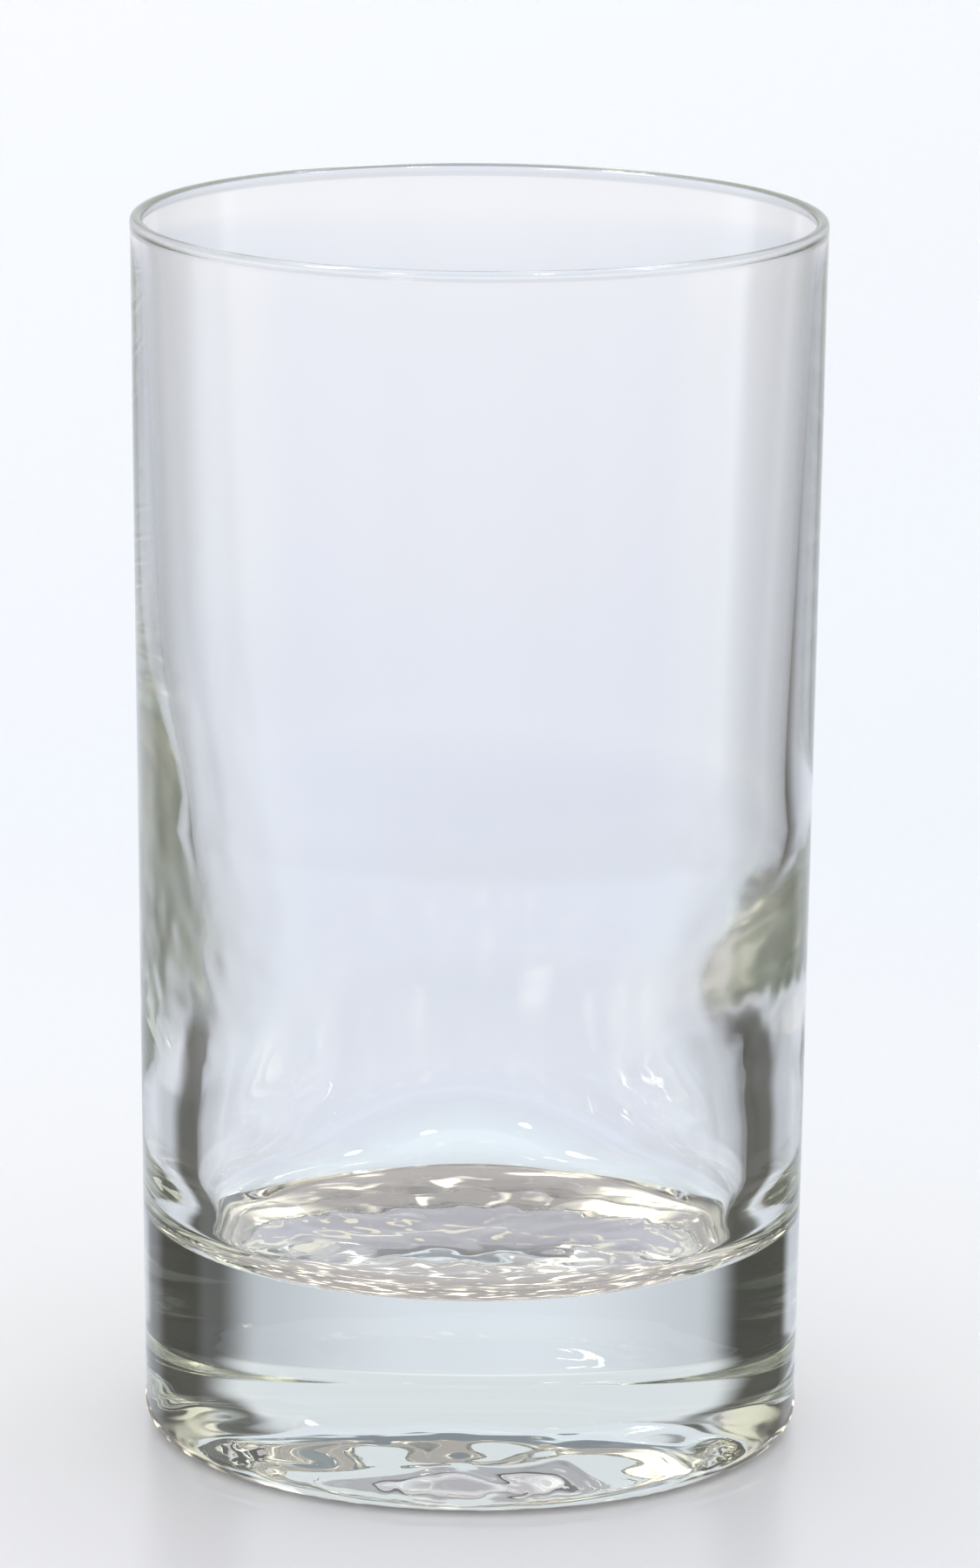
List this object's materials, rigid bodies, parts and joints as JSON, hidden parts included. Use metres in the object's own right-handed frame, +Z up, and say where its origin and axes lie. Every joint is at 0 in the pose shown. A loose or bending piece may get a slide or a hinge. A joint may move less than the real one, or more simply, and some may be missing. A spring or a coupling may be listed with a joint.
{
  "type": "highball glass",
  "caption": "Clear straight-sided highball tumbler with a heavy solid base, a thin fire-polished rim and a wall that swells inside towards the base, for serving long drinks.",
  "frame": {"origin": "centre of the foot ring's bearing face, on the surface that the glass stands on", "axes": "+Z up along the glass's axis from the foot to the mouth; X and Y are free because the glass is round"},
  "size_m": [0.068, 0.068, 0.122],
  "materials": {
    "clear_glass": "clear soda-lime glass, fire-polished gloss"
  },
  "bodies": {
    "root": {"rim": "clear_glass", "side_wall": "clear_glass", "heavy_base": "clear_glass", "foot_ring": "clear_glass"}
  },
  "joints": []
}
